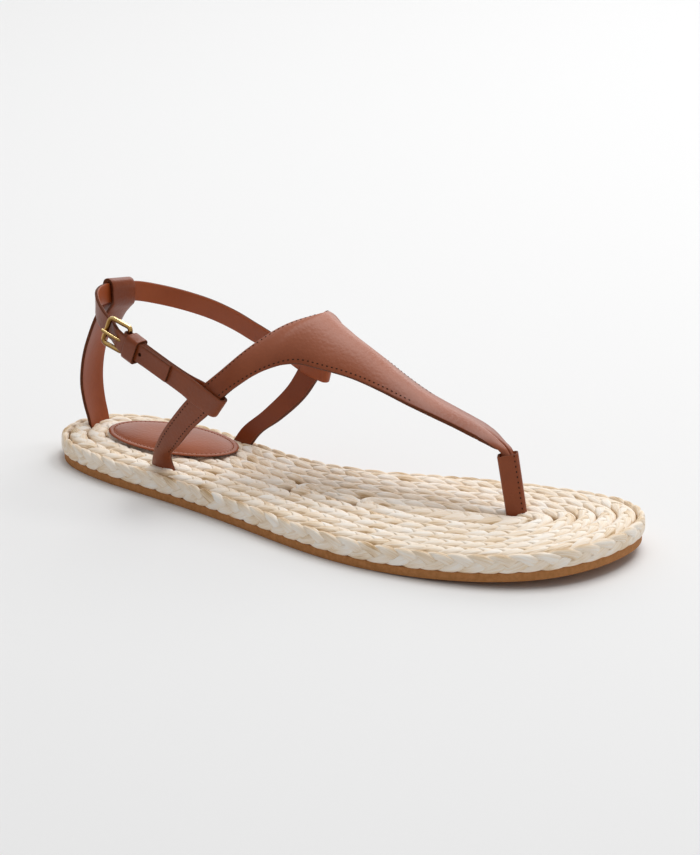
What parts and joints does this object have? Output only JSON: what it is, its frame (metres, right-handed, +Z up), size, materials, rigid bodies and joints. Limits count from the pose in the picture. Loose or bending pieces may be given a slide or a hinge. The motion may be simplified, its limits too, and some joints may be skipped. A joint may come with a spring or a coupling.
{
  "type": "strappy sandal",
  "caption": "Flat right-foot T-strap sandal with a toe post, an ankle strap with a small buckle, a heel strap and a coiled straw-braid sole on a thin rubber outsole.",
  "frame": {"origin": "middle of the sandal's outline box, on the ground under the sole", "axes": "+X to the toe, +Y to the inner side of the foot, +Z up"},
  "size_m": [0.2496, 0.0934, 0.073],
  "materials": {
    "leather": "smooth chestnut-brown leather, semi-matt",
    "straw": "natural straw braid, matt",
    "rubber": "tan rubber sheet, matt",
    "brass": "polished gold-coloured metal"
  },
  "bodies": {
    "root": {"outsole": "rubber", "braid_sole": "straw", "heel_pad": "leather", "upper": "leather", "heel_strap": "leather", "toe_post": "leather", "keeper": "leather", "buckle_frame": "brass", "buckle_prong": "brass"}
  },
  "joints": []
}
